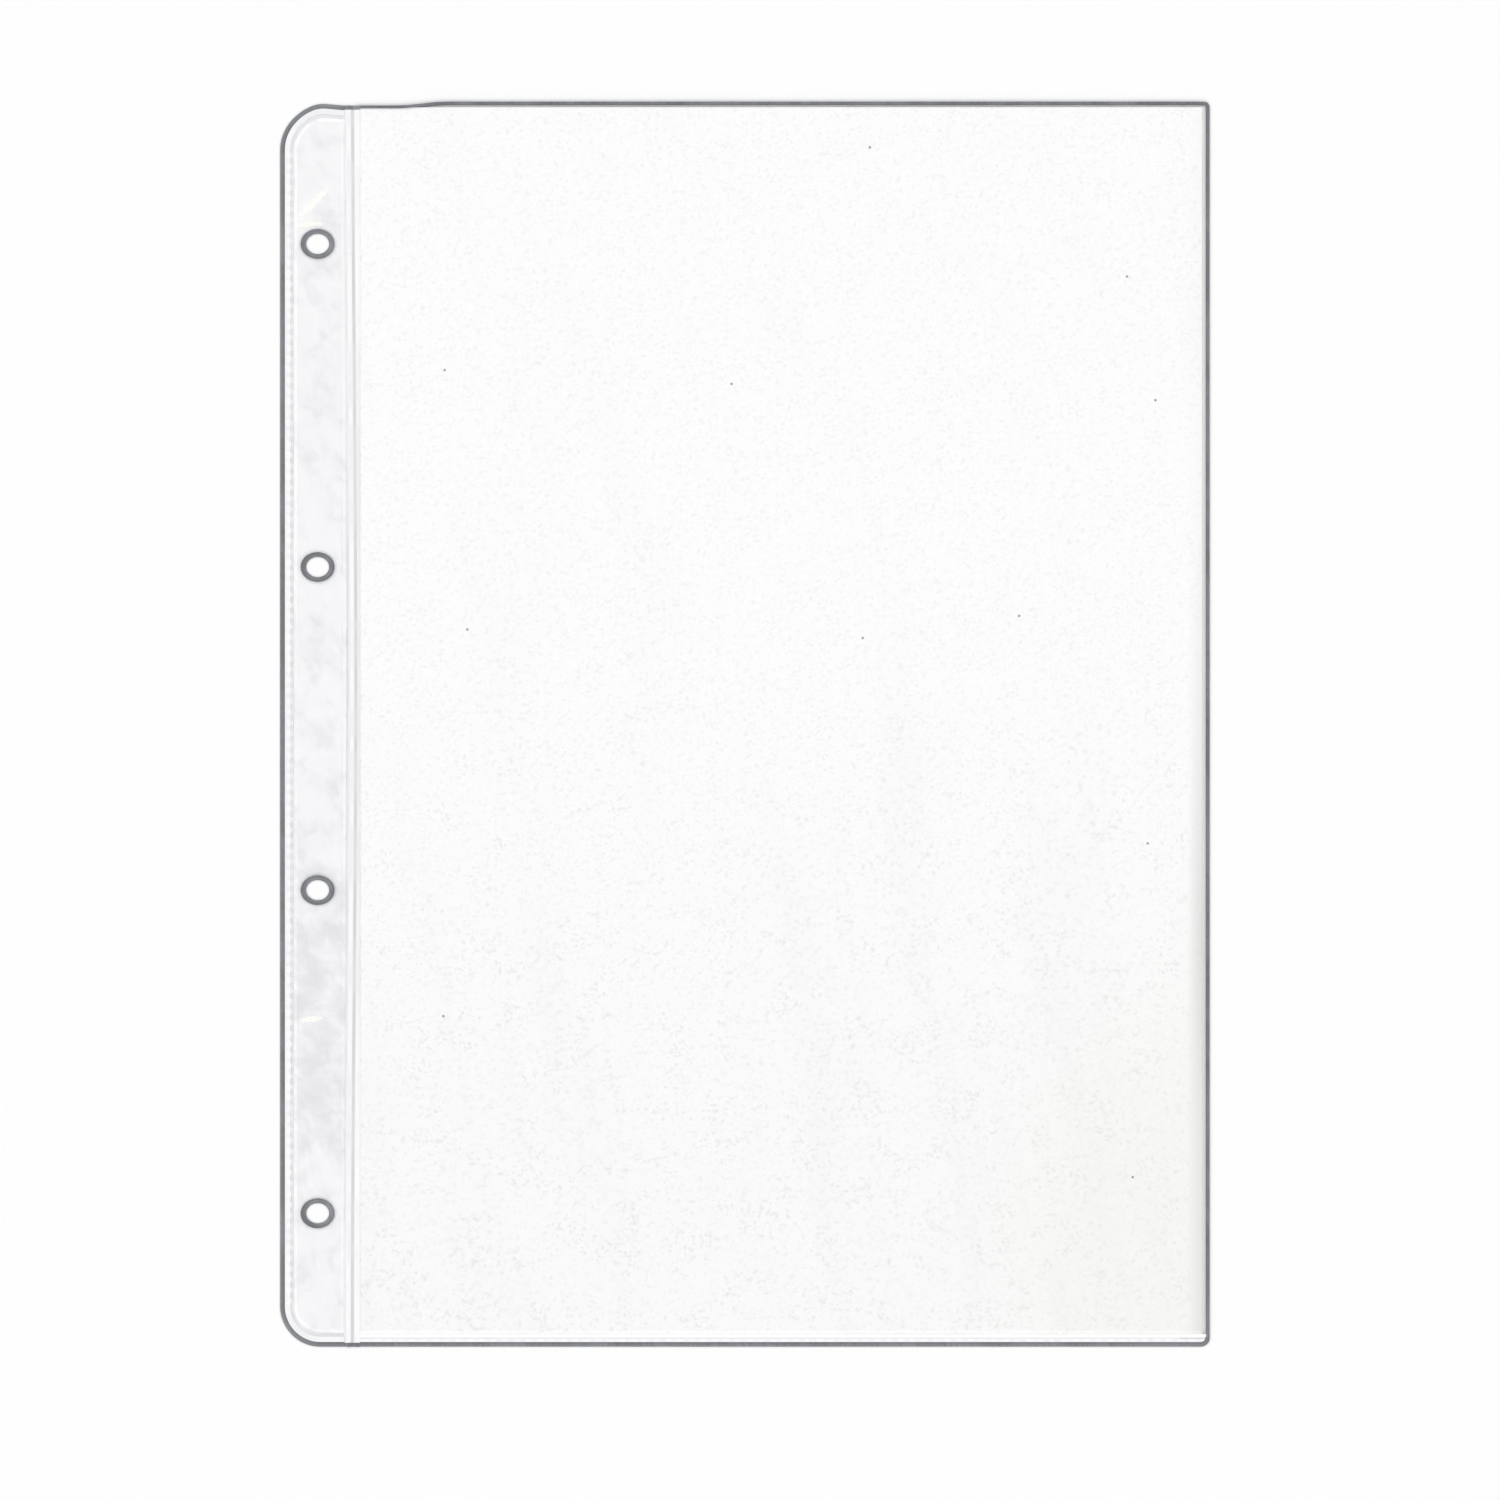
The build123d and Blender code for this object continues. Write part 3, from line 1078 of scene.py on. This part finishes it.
    def build_hole_rims(self, finishes: Sequence[bpy.types.Material]) -> list[bpy.types.Object]:
        """Turns the dark oval lip round each hole, where the punch pressed the layers together; it reaches into the
        hole, and its dark is partly the cut edge's own look and partly painted shade for the shadow in and round the
        hole.

        Args:
            finishes: The edge's material.

        Returns:
            The lips.
        """
        inner, outer, top = self.hole_radius - self.hole_shade_reach, self.hole_radius + self.hole_rim - 0.01, self.film_top
        section = (
            (inner, 0.12), (inner + 0.06, 0.05), (inner + 0.3, 0.0), (outer, 0.0), (outer, top),
            (outer - 0.2, top - 0.005), (inner + 0.75, top - 0.05), (inner + 0.35, top - 0.16),
            (inner + 0.08, top - 0.27), (inner, top - 0.33),
        )
        rims = []
        for number, y in enumerate(self.hole_rows, 1):
            piece = loop(f"hole_rim_{number}", [(self.hole_x + r, y, z) for r, z in section])
            bpy.ops.mesh.spin(
                steps=64, angle=2 * math.pi, center=(self.hole_x * MM, y * MM, 0), axis=(0, 0, 1)
            )
            bpy.ops.mesh.select_all(action="SELECT")
            bpy.ops.mesh.remove_doubles(threshold=1e-6)
            bpy.ops.mesh.normals_make_consistent(inside=False)
            bpy.ops.object.mode_set(mode="OBJECT")
            squash, centre = np.array([1.0, self.hole_squash, 1.0]), np.array([0.0, y, 0.0])
            reshape(piece, lambda p, c=centre, s=squash: c + (p - c) * s)
            reshape(piece, self.sleeve.lie)
            rims.append(settle(piece, finishes, Body.MARGIN, ()))
        return rims


@dataclass
class PageSeam:
    """The seam between margin and pocket, and the strip of film beside it that bends when the page is turned."""

    sleeve: Sleeve
    start: float = -98.75
    middle: float = -97.65
    foot: float = -96.2
    end: float = -95.2
    film: float = 0.15
    weld_top: float = 0.30
    front_low: float = 0.55
    pocket_weld: float = -151.85
    pocket_flat: float = -151.0
    groove: float = 0.08
    line_offset: float = 1.05
    line_half: float = 0.34
    faint_offset: float = 0.8
    faint_half: float = 0.28
    lengths: int = 75

    def section(self) -> list[tuple[float, float]]:
        """Gives the section: two pressed lines with a ridge between them, then both films parting at the pocket.

        Returns:
            Its points across and up.
        """
        top, roof_top, low = self.weld_top, self.front_low + self.film, self.weld_top - self.groove
        inner = self.foot + 0.15
        rise = np.linspace(0.0, 1.0, 7)[1:]
        under = [(x, 0.0) for x in (self.start, self.start + 0.15, *np.linspace(self.middle + 0.05, self.end, 13))]
        gap_floor = [(x, self.film) for x in np.linspace(self.end, inner, 6)]
        gap_roof = [(inner + (self.end - inner) * t, self.film + (self.front_low - self.film) * t) for t in rise]
        roof = [(self.end + (self.foot - self.end) * t, roof_top - (roof_top - top) * t) for t in (0.0, *rise)]
        offset, half, m = self.line_offset, self.line_half, self.middle
        right = [(m + offset + half, top), (m + offset + 0.5 * half, low), (m + offset - 0.5 * half, low)]
        ridge = [(m + 0.6, top + 0.01), (m + 0.28, top + 0.05), (m, top + 0.08), (m - 0.28, top + 0.04)]
        near = m - self.faint_offset
        left = [(near + self.faint_half, top - 0.01), (near + 0.3 * self.faint_half, low - 0.06)]
        return under + gap_floor + gap_roof + roof + right + ridge + left + [(self.start, 0.05)]

    def build(self, finishes: Sequence[bpy.types.Material]) -> bpy.types.Object:
        """Sweeps the section along the page and fuses it at the bottom weld.

        Args:
            finishes: Film, weld, dark line, faint line, ridge and edge materials.

        Returns:
            The seam.
        """
        s = self.sleeve
        pitch = (s.trim - s.bottom) / self.lengths
        section = [(x, s.bottom, z) for x, z in self.section()]
        piece = run("page_seam", section, (0.0, pitch, 0.0), 4, self.lengths)
        close_band(piece)

        def fuse(points: Points) -> Points:
            """Presses both films together across the bottom weld.

            Args:
                points: The vertices in millimetres.

            Returns:
                Where they go.
            """
            z = points[:, 2]
            climb = smooth_step(points[:, 1], self.pocket_weld, self.pocket_flat + 0.4)
            along = np.clip((points[:, 0] - self.foot) / (self.end - self.foot), 0.0, 1.0)
            outer = z > self.weld_top + (self.front_low + self.film - self.weld_top) * along - self.film / 2
            fused = np.where(outer, self.weld_top, self.film + 0.005)
            fused = np.where((z > self.film + 0.001) & (points[:, 0] > self.foot), fused, z)
            moved = points.copy()
            moved[:, 2] = fused + (z - fused) * climb
            return moved

        reshape(piece, fuse)
        right, left = self.middle + self.line_offset, self.middle - self.faint_offset
        # Everything above the back film gets the white weld, the clear film's roof beside the seam too: there it is
        # painted light that hides the shade under it
        paint(piece, 1, lambda c: c[:, 2] > 0.16)
        # Grey in both pressed lines: painted shade of the grooves
        paint(piece, 2, lambda c: (np.abs(c[:, 0] - right) < self.line_half) & (c[:, 2] > 0.1))
        paint(piece, 3, lambda c: (np.abs(c[:, 0] - left) < self.faint_half) & (c[:, 2] > 0.06))
        paint(piece, 4, lambda c: (np.abs(c[:, 0] - self.middle) < 0.3) & (c[:, 2] > 0.2))
        # Dark edge at both ends: partly the cut edge's own dark look, partly painted shade along it
        paint(piece, 5, lambda c: (c[:, 1] > s.trim - s.rim) | (c[:, 1] < s.bottom + s.rim))
        reshape(piece, s.lie)
        settle(piece, finishes, None, ("binding_seam", "flex_edge"))
        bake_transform(piece)
        return piece


@dataclass
class Pocket:
    """The pocket: one film folded along the side, welded along the bottom and open at the mouth."""

    sleeve: Sleeve
    start: float = -95.2
    weld: float = -151.85
    flat: float = -151.0
    slope: float = 112.3
    bend: float = 114.9
    bend_radius: float = 0.25
    film: float = 0.15
    weld_top: float = 0.30
    front_low: float = 0.55
    bump_pitch: float = 2.87
    bump_length: float = 1.5
    bump_rise: float = 0.04
    bite_start: float = 107.6
    waves: tuple[tuple[float, float, float, float], ...] = (
        (0.16, 95.0, 310.0, 0.6),
        (0.12, 61.0, -190.0, 2.1),
        (0.06, 37.0, 88.0, 4.0),
    )
    wave_edge: float = 16.0
    wave_foot: float = 18.0
    gather_start: float = 110.0

    def billow(self, x: Points, y: Points) -> Points:
        """Measures how far the front film stands off the sheet.

        Args:
            x: Places across, in millimetres.
            y: Places along.

        Returns:
            The heights.
        """
        waves = np.zeros(len(x))
        # Each wave has its height, its lengths across and along, and where it starts
        for height, across, along, start in self.waves:
            waves += height * (1 + np.sin(2 * math.pi * (x / across + y / along) + start))
        sides = smooth_step(x, self.start, self.start + self.wave_edge)
        sides = sides * (1 - smooth_step(x, self.slope - self.wave_edge, self.slope))
        mouth = smooth_step(y, self.gather_start, self.sleeve.mouth)
        return sides * smooth_step(y, self.flat, self.flat + self.wave_foot) * waves * (1 - 0.8 * mouth)

    def build_film(self, finishes: Sequence[bpy.types.Material]) -> bpy.types.Object:
        """Folds the pocket's film: back, side fold and front in one sheet.

        Args:
            finishes: Film, edge and lip materials.

        Returns:
            The film.
        """
        s = self.sleeve
        half = self.film / 2
        back = lines(self.start, self.bend, 3.0, s.right - s.fold_rim, self.bend - 0.3)
        turns = np.linspace(-math.pi / 2, math.pi / 2, 9)[1:-1]
        front = lines(self.start, self.bend, 2.4, s.right - s.fold_rim, self.bend - 0.3, self.slope)[::-1]
        radius = self.bend_radius - half
        top = self.front_low + half
        crown = 2 * self.bend_radius - half
        x_section = np.concatenate([back, self.bend + radius * np.cos(turns), front])
        z_front = crown + (top - crown) * (1 - smooth_step(front, self.slope, self.bend))
        z_section = np.concatenate([np.full(len(back), half), self.bend_radius + radius * np.sin(turns), z_front])
        first_front = len(back) + len(turns)
        near_mouth = [s.mouth - n for n in (0.25, 0.5, s.mouth_rim, 1.0, 1.3)]
        rows = lines(self.weld, s.mouth, 2.4, self.weld + 0.3, self.weld + 0.65, self.flat, *near_mouth)
        piece = grid("pocket_film", np.arange(len(x_section), dtype=float), rows)

        def fold(points: Points) -> Points:
            """Folds the flat film round the side and lets its front down to the bottom weld.

            Args:
                points: The vertices in millimetres.

            Returns:
                Where they go.
            """
            column = np.rint(points[:, 0]).astype(int)
            x, y, z = x_section[column], points[:, 1], z_section[column]
            over = column >= first_front
            fused = self.weld_top - half
            climb = smooth_step(y, self.weld, self.flat + 0.4)
            z = np.where(over, fused + (z - fused) * climb + self.billow(x, y), z)
            return s.trimmed(np.column_stack([x, y, z]))

        reshape(piece, fold)
        modify(piece, "SOLIDIFY", thickness=self.film * MM, offset=0.0, use_even_offset=True)
        activate(piece)
        bpy.ops.object.mode_set(mode="EDIT")
        bpy.ops.mesh.select_all(action="SELECT")
        bpy.ops.mesh.normals_make_consistent(inside=False)
        bpy.ops.object.mode_set(mode="OBJECT")

        def at_mouth(centres: Points) -> Points:
            """Says which faces lie along the mouth's cut edge."""
            edge = s.trimmed(np.column_stack([centres[:, 0], np.full(len(centres), s.mouth), centres[:, 2]]))
            return centres[:, 1] > edge[:, 1] - s.mouth_rim

        # Dark band along the fold and the mouth: painted shade along the fold, where no edge is cut, and at the mouth
        # partly the cut edge's own dark look
        paint(piece, 1, lambda c: c[:, 0] > s.right - s.fold_rim)
        paint(piece, 1, at_mouth)
        # The lip over the bottom weld is painted opaque white, painted light that hides the shade on the floor beneath
        # it
        lip = self.flat + 0.1
        paint(piece, 2, lambda c: (c[:, 1] < lip) & (c[:, 2] > 0.2) & (c[:, 0] < s.right - s.fold_rim))
        reshape(piece, s.round_corners)
        reshape(piece, s.lie)
        settle(piece, finishes, Body.POCKET, ("pocket_front_film", "pocket_back_film", "side_fold"))
        return piece

    def build_bottom_weld(self, finishes: Sequence[bpy.types.Material]) -> bpy.types.Object:
        """Sweeps the bottom weld along the pocket, with the bumps that the toothed bar left.

        Args:
            finishes: Weld, faint line, pad, edge and dark line materials.

        Returns:
            The weld.
        """
        s = self.sleeve
        top, width = self.weld_top, self.weld - s.bottom
        section = (
            (0.0, 0.06), (0.05, 0.0), (1.2, 0.0), (width, 0.0), (width, top), (width - 0.08, top),
            (width - 0.16, top - 0.03), (width - 0.3, top - 0.04), (width - 0.44, top - 0.03), (width - 0.52, top),
            (1.82, top), (1.6, top), (1.38, top), (1.3, top), (1.2, top), (0.7, top - 0.01),
            (0.2, top - 0.07), (0.0, top - 0.16),
        )
        count = round((s.right - self.start) / self.bump_pitch)
        pitch = (s.right - self.start) / count

        def press(points: Points) -> Points:
            """Raises one bump.

            Args:
                points: The vertices in millimetres.

            Returns:
                Where they go.
            """
            inset = points[:, 1] - s.bottom
            phase = np.abs(points[:, 0] - self.start - pitch / 2)
            bump = 1 - smooth_step(phase, self.bump_length / 2 - 0.2, self.bump_length / 2 + 0.2)
            raised = (inset > 1.34) & (inset < 1.86) & (points[:, 2] > top - 0.02)
            moved = points.copy()
            moved[:, 2] += np.where(raised, self.bump_rise * bump, 0.0)
            return moved

        points = [(self.start, s.bottom + v, z) for v, z in section]
        piece = run("pocket_foot_weld", points, (pitch, 0.0, 0.0), 10, count, press)
        close_band(piece)

        def pressed(centres: Points) -> Points:
            """Says which faces lie in the pressed line."""
            return (np.abs(centres[:, 1] - self.weld + 0.3) < 0.24) & (centres[:, 2] > 0.1)

        # Grey in the pressed line: painted shade of the groove
        paint(piece, 1, pressed)
        paint(piece, 2, lambda c: c[:, 2] > top + 0.3 * self.bump_rise)
        # The bar bit deepest beside the fold, where the groove gets a darker painted shade
        paint(piece, 4, lambda c: pressed(c) & (c[:, 0] > self.bite_start))
        # Dark band along the cut edge and the fold end: partly the edge's own dark look, partly painted shade
        paint(piece, 3, lambda c: (c[:, 1] < s.bottom + s.rim) | (c[:, 0] > s.right - s.rim))
        reshape(piece, s.round_corners)
        reshape(piece, s.lie)
        return settle(piece, finishes, Body.POCKET, ("bottom_weld",))


@dataclass
class Insert:
    """The white sheet in the pocket, which slides out of the mouth."""

    sleeve: Sleeve
    left: float = -95.4
    right: float = 113.2
    low: float = -151.35
    high: float = 152.6
    under: float = 0.25
    thickness: float = 0.20
    cockle: float = 0.02

    def build(self, finishes: Sequence[bpy.types.Material]) -> bpy.types.Object:
        """Lays the sheet on the back film.

        Args:
            finishes: The paper.

        Returns:
            The sheet.
        """
        piece = grid("loose_sheet", lines(self.left, self.right, 3.0), lines(self.low, self.high, 3.0))

        def lay(points: Points) -> Points:
            """Gives the paper its faint cockle.

            Args:
                points: The vertices in millimetres.

            Returns:
                Where they go.
            """
            x, y = points[:, 0], points[:, 1]
            wave = np.sin(2 * math.pi * (x / 83 + y / 210)) + np.sin(2 * math.pi * y / 120 + 1.0)
            return np.column_stack([x, y, self.under + self.thickness / 2 + self.cockle * wave])

        reshape(piece, lay)
        modify(piece, "SOLIDIFY", thickness=self.thickness * MM, offset=0.0)
        reshape(piece, self.sleeve.lie)
        settle(piece, finishes, Body.SHEET, ("insert_sheet",))
        return piece


@dataclass
class Studio:
    """Pale floor, even soft light from all round and a camera straight above the sleeve."""

    frame_width: float = 371.5
    lens: float = 85.0
    sensor: float = 36.0
    aim: tuple[float, float] = (1.34, -6.5)
    floor_colour: str = "FEFEFE"
    floor_size: float = 12.0
    floor_drop: float = 0.02
    fill: float = 0.35
    lamp_distance: float = 1.6
    lamp_rise: float = 45.0
    lamp_size: float = 0.9
    lamp_power: float = 6.43
    lamp_count: int = 6

    def build_camera(self) -> None:
        """Sets the camera straight above, with the sleeve where the photograph has it."""
        data = bpy.data.cameras.new("camera")
        data.lens, data.sensor_width = self.lens, self.sensor
        camera = bpy.data.objects.new("camera", data)
        height = self.frame_width * self.lens / self.sensor
        camera.location = (self.aim[0] * MM, self.aim[1] * MM, height * MM)
        bpy.context.scene.collection.objects.link(camera)
        bpy.context.scene.camera = camera

    def build_floor(self) -> None:
        """Lays the floor."""
        bpy.ops.object.select_all(action="DESELECT")
        bpy.ops.mesh.primitive_plane_add(size=self.floor_size, location=(0, 0, -self.floor_drop * MM))
        floor = bpy.context.object
        floor.name = "floor"
        # Board painted matt white, so that the ground shows as even near-white with soft shadows
        material, tree = new_material("painted_board")
        surface = {"Base Color": linear(self.floor_colour), "Roughness": 0.9, "Specular IOR Level": 0.0}
        surface = add_node(tree, "ShaderNodeBsdfPrincipled", surface)
        add_node(tree, "ShaderNodeOutputMaterial", {"Surface": surface})
        floor.data.materials.append(material)

    def build_light(self) -> None:
        """Hangs the soft boxes in a ring and fills the rest from a white room."""
        for number in range(self.lamp_count):
            turn = 2 * math.pi * (number + 0.5) / self.lamp_count
            rise = math.radians(self.lamp_rise)
            data = bpy.data.lights.new(f"softbox_{number + 1}", "AREA")
            data.shape, data.size, data.energy = "SQUARE", self.lamp_size, self.lamp_power * 4 / self.lamp_count
            lamp = bpy.data.objects.new(data.name, data)
            reach = self.lamp_distance * math.cos(rise)
            lamp.location = (reach * math.cos(turn), reach * math.sin(turn), self.lamp_distance * math.sin(rise))
            lamp.rotation_euler = (-lamp.location).to_track_quat("-Z", "Y").to_euler()
            bpy.context.scene.collection.objects.link(lamp)
        world = bpy.data.worlds.new("white_room")
        world.use_nodes = True
        tree = world.node_tree
        tree.nodes.clear()
        # The eye, gloss and clear film see a white room; the rest of its light only fills the shadows
        ray = add_node(tree, "ShaderNodeLightPath").outputs
        seen = {0: ray["Is Camera Ray"], 1: ray["Is Glossy Ray"]}
        seen = add_node(tree, "ShaderNodeMath", seen, operation="MAXIMUM")
        seen = {0: seen, 1: ray["Is Transmission Ray"]}
        seen = add_node(tree, "ShaderNodeMath", seen, operation="MAXIMUM")
        strength = add_node(tree, "ShaderNodeMapRange", {0: seen, 3: self.fill, 4: 1.0})
        room = add_node(tree, "ShaderNodeBackground", {"Color": linear("FFFFFF"), "Strength": strength})
        add_node(tree, "ShaderNodeOutputWorld", {"Surface": room})
        bpy.context.scene.world = world

    def build(self) -> None:
        """Sets up camera, floor and light."""
        self.build_camera()
        self.build_floor()
        self.build_light()
        bpy.context.scene.view_settings.view_transform = "Standard"
        # Light crosses up to seven clear layers down to the floor and as many back up
        bpy.context.scene.cycles.transparent_max_bounces = 32


def main() -> None:
    """Builds every piece of the sleeve in order."""
    logging.basicConfig(level=logging.INFO, format="%(name)s: %(message)s")
    Studio().build()
    sleeve = Sleeve()
    # Over the strip: glossy and bluish, mottled grey where the layers cling, with three white creases whose white is
    # partly stress-whitening and partly painted highlight for their glint
    margin_film = ClearFilm(
        "clear_pvc_film_margin",
        "DADBE4",
        "B4B5BC",
        haze=(0.02, 0.09),
        patch=(6.0, 9.0, 8.0),
        turn=25.0,
        cling=(0.44, 0.78),
        settled=0.14,
        settled_at=(-70.0, 52.0),
        creases=(
            Crease(-106.6, 129.0, 45.0, 5.8, 1.0),
            Crease(-108.0, 123.6, 4.0, 3.8, 1.0),
            Crease(-107.5, -73.2, 8.0, 3.0, 0.9),
        ),
    ).build()
    # Under the strip: only a breath of haze, since its gloss lies on the table
    back_film = ClearFilm(
        "clear_pvc_film_back", "F0F0FA", "CFCFD8", haze=(0.012, 0.022), patch=(9.0, 14.0, 9.0), turn=-30.0, mirror=0.0
    ).build()
    # Between both films: makes the margin a little denser than the pocket
    strip_film = ClearFilm(
        "clear_pvc_strip", "EEEEF8", "CFCFD8", haze=(0.015, 0.024), patch=(14.0, 22.0, 14.0), turn=10.0, mirror=0.0
    ).build()
    # Over the paper: almost unseen but for its gloss and long pale bands where it clings
    pocket_film = ClearFilm(
        "clear_pvc_film_pocket",
        "FFFFFF",
        "CCCCCC",
        haze=(0.0004, 0.013),
        patch=(24.0, 130.0, 24.0),
        turn=9.0,
        cling=(0.44, 0.72),
        settled=0.05,
    ).build()
    # Fused film: frosted to a soft white with a slight shine
    weld = PressedFilm("welded_pvc", "FCFCFD", "F6F6F8", 0.95).build()
    # Where the bar bit deepest: a thin grey line beside the pocket, its grey painted shade of the groove
    line = PressedFilm("welded_pvc_pressed_line_shade", "D6D5D7", "E1E0E2", 0.95).build()
    # Where each tooth bit: a row of pale grey dashes, painted shade of the groove
    tooth = PressedFilm("welded_pvc_tooth_mark_shade", "E1E1E4", "EAEAEC", 0.95).build()
    # Where the bar only touched: a line that hardly shows, painted shade of the groove
    faint = PressedFilm("welded_pvc_faint_line_shade", "EDEDF0", "F3F3F5", 0.95).build()
    # The bead between the seam's lines: catches the light, so it is the seam's whitest part
    ridge = PressedFilm("welded_pvc_ridge", "FEFEFE", "F4F4F7", 0.95).build()
    # Film left standing between teeth: small white pads
    pad = PressedFilm("welded_pvc_tooth_pad", "FFFFFF", "FCFCFD", 0.97).build()
    # Cut edges and the fold: a dark grey outline round the sleeve and its holes, partly the dark look of cut film edges
    # and partly painted shade for the contact shadow along them
    edge = PressedFilm("pvc_cut_edge_and_painted_shade", "63666B", "73767B", 0.97, 0.3).build()
    # Uncoated paper: the even matt white of the pocket
    paper = WhitePaper("white_paper").build()

    margin = BindingMargin(sleeve)
    margin.build_border((weld, tooth, pad, edge, faint))
    margin.build_back_film((back_film,))
    margin.build_strip((strip_film,))
    margin.build_front_film((margin_film,))
    margin.build_hole_rims((edge,))
    PageSeam(sleeve).build((pocket_film, weld, line, faint, ridge, edge))
    pocket = Pocket(sleeve)
    pocket.build_film((pocket_film, edge, pad))
    pocket.build_bottom_weld((weld, faint, pad, edge, line))
    Insert(sleeve).build((paper,))


if __name__ == "__main__":
    main()
